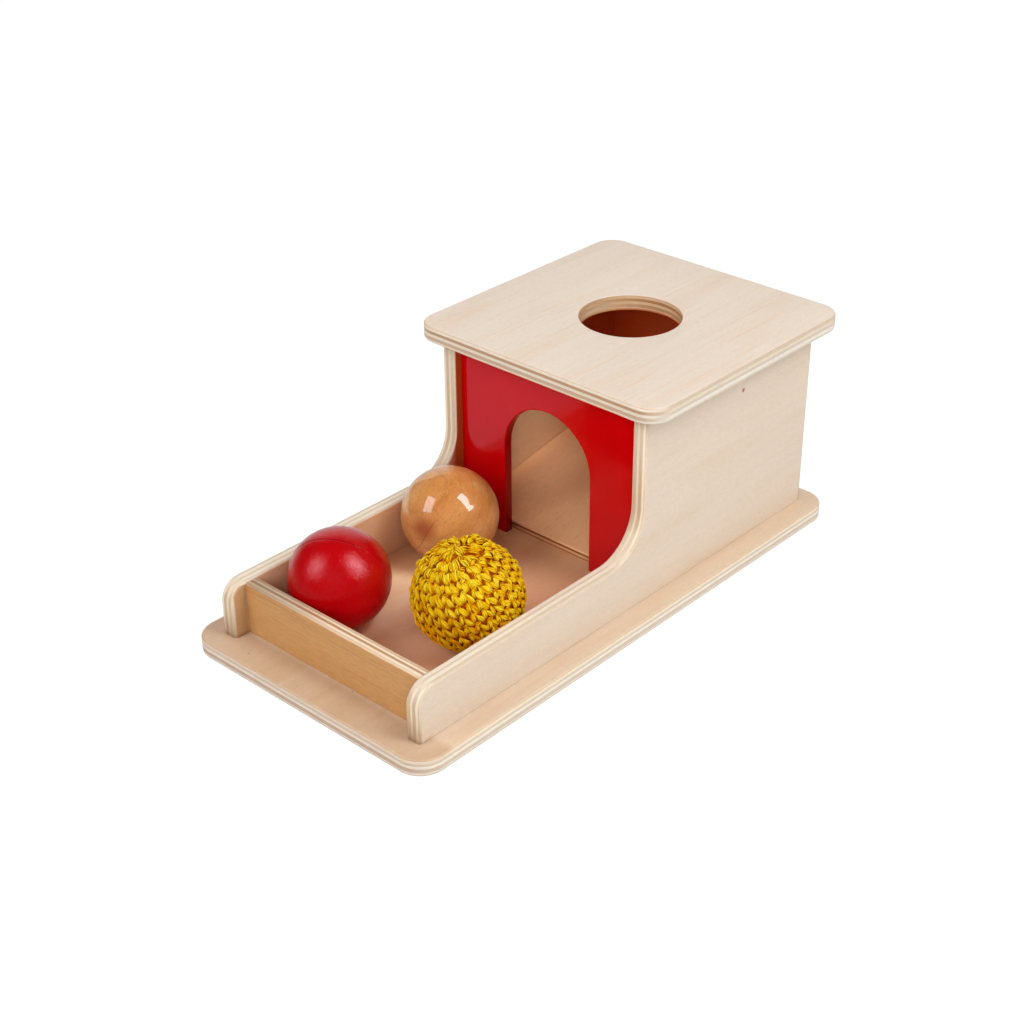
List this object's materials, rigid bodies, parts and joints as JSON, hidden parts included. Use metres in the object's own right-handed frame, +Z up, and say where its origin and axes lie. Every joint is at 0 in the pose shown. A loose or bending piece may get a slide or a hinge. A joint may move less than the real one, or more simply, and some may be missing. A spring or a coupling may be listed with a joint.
{
  "type": "object permanence box",
  "caption": "Wooden baby toy: a ball dropped through the round roof hole rolls down a hidden ramp, out of a red arch and into an open tray.",
  "frame": {"origin": "centre of the base board's underside, on the surface that the box stands on", "axes": "+Z up; Y along the length, the open tray towards -Y and the box towards +Y; X across the width"},
  "size_m": [0.15, 0.3, 0.1147],
  "materials": {
    "birch_plywood": "satin",
    "red_gloss_board": "gloss",
    "beech": "satin",
    "varnished_beech": "gloss",
    "red_vinyl": "satin",
    "yellow_cotton_yarn": "matte",
    "wool_filling": "matte"
  },
  "bodies": {
    "box": {"base_board": "birch_plywood", "side_panel_left": "birch_plywood", "side_panel_right": "birch_plywood", "roof_board": "birch_plywood", "front_wall": "red_gloss_board", "back_wall": "birch_plywood", "tray_rail": "birch_plywood", "ramp_board": "birch_plywood", "ramp_bearer": "beech", "base_dowels": "beech", "roof_dowels": "beech", "back_wall_dowels": "beech", "rail_dowels": "beech"},
    "wooden_ball": {"wooden_ball": "varnished_beech"},
    "red_ball": {"red_ball": "red_vinyl"},
    "crochet_ball": {"crochet_cover": "yellow_cotton_yarn", "crochet_filling": "wool_filling"}
  },
  "joints": [
    {"name": "wooden_ball_lift", "type": "slide", "parent": "box", "child": "wooden_ball", "axis": [0, -0.1736, 0.9848], "range_m": [0, 0.12]},
    {"name": "red_ball_lift", "type": "slide", "parent": "box", "child": "red_ball", "axis": [0, 0, 1], "range_m": [0, 0.12]},
    {"name": "crochet_ball_lift", "type": "slide", "parent": "box", "child": "crochet_ball", "axis": [0, 0, 1], "range_m": [0, 0.12]}
  ]
}
